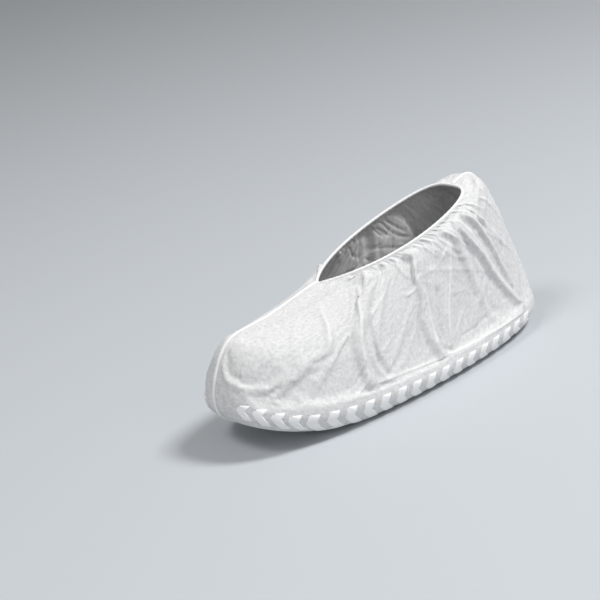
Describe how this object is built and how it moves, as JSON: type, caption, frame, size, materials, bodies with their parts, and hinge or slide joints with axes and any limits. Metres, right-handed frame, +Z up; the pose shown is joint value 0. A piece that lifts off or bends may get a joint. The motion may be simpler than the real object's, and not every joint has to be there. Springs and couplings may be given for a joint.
{
  "type": "boot cover",
  "caption": "Low slip-on shoe cover of thin white non-woven fabric: two side panels joined by a centre seam, an elastic opening and a printed non-skid sole, in its worn shape.",
  "frame": {"origin": "on the sole's inner face, in the middle of the length and width, where a shoe's sole sits", "axes": "+Z up through the opening, -Y towards the toe, +Y towards the heel, +X towards the wearer's left"},
  "size_m": [0.128, 0.3168, 0.135],
  "materials": {
    "fabric": "matt off-white spunbond non-woven with a fine mottled fibre web",
    "seam": "bound fabric seam, a little brighter and denser than the panels",
    "elastic": "thin elastic rolled into the gathered fabric edge",
    "tread_print": "white soft non-skid print, slightly raised and rubbery"
  },
  "bodies": {
    "root": {"side_panel_left": "fabric", "side_panel_right": "fabric", "centre_seam": "seam", "elastic_edge": "elastic", "print_inner_left_1": "tread_print", "print_outer_left_1": "tread_print", "print_inner_left_2": "tread_print", "print_outer_left_2": "tread_print", "print_inner_left_3": "tread_print", "print_outer_left_3": "tread_print", "print_inner_left_4": "tread_print", "print_outer_left_4": "tread_print", "print_inner_left_5": "tread_print", "print_outer_left_5": "tread_print", "print_inner_left_6": "tread_print", "print_outer_left_6": "tread_print", "print_inner_left_7": "tread_print", "print_outer_left_7": "tread_print", "print_inner_left_8": "tread_print", "print_outer_left_8": "tread_print", "print_toe_left_1": "tread_print", "print_toe_left_2": "tread_print", "print_toe_left_3": "tread_print", "print_toe_left_4": "tread_print", "print_inner_right_1": "tread_print", "print_outer_right_1": "tread_print", "print_inner_right_2": "tread_print", "print_outer_right_2": "tread_print", "print_inner_right_3": "tread_print", "print_outer_right_3": "tread_print", "print_inner_right_4": "tread_print", "print_outer_right_4": "tread_print", "print_inner_right_5": "tread_print", "print_outer_right_5": "tread_print", "print_inner_right_6": "tread_print", "print_outer_right_6": "tread_print", "print_inner_right_7": "tread_print", "print_outer_right_7": "tread_print", "print_inner_right_8": "tread_print", "print_outer_right_8": "tread_print", "print_toe_right_1": "tread_print", "print_toe_right_2": "tread_print", "print_toe_right_3": "tread_print", "print_toe_right_4": "tread_print"}
  },
  "joints": []
}
